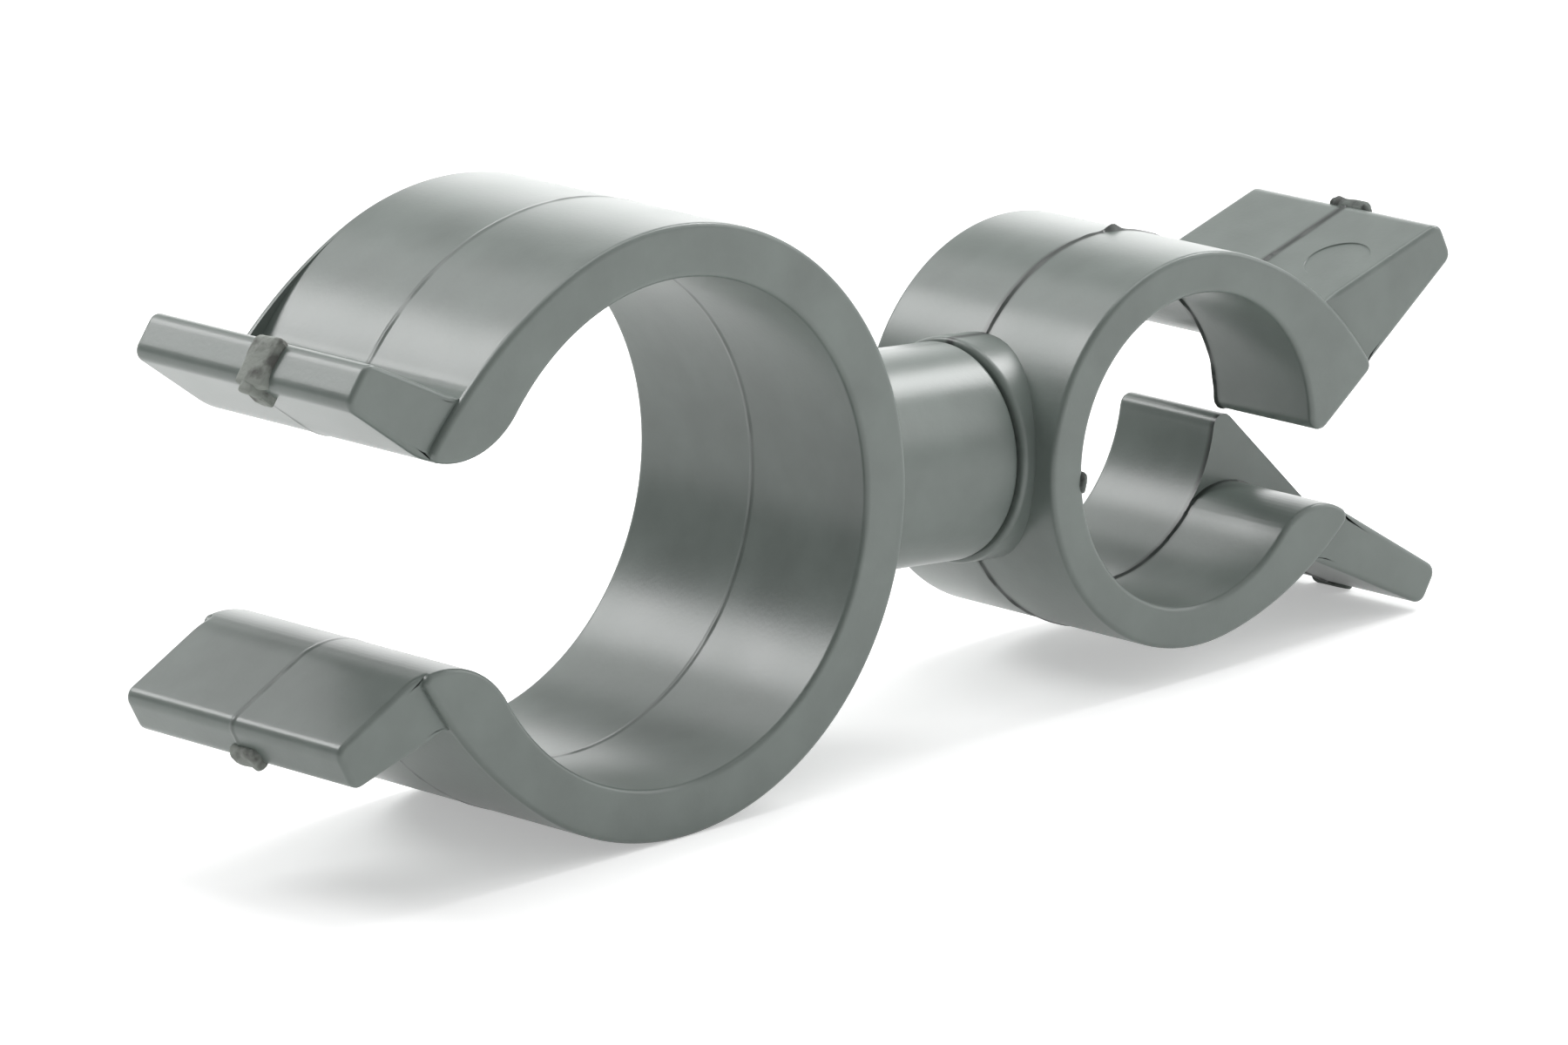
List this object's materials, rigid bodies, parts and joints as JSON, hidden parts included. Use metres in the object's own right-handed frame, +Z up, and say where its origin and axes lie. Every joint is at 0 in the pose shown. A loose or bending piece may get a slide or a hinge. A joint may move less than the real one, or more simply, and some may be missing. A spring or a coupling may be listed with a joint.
{
  "type": "tube clip",
  "caption": "Swivelling tube clip: a large and a small springy open ring, back to back on a turning boss, hold a thick and a thin tube at any angle to each other.",
  "frame": {"origin": "centre of the large clip's bore, halfway across its width", "axes": "+Y along both bores, away from the camera of the picture; +X from the large clip to the small one, as it lies; +Z up from the surface that it lies on"},
  "size_m": [0.0772, 0.0166, 0.0303],
  "materials": {
    "grey_plastic": "dull grey moulding with a faint green cast"
  },
  "bodies": {
    "large_clip": {"large_clip": "grey_plastic"},
    "small_clip": {"small_clip": "grey_plastic"}
  },
  "joints": [
    {"name": "swivel", "type": "hinge", "parent": "large_clip", "child": "small_clip", "pos_m": [0.02549, 0, -0.00241], "axis": [0.9956, 0, -0.0942], "continuous": true}
  ]
}
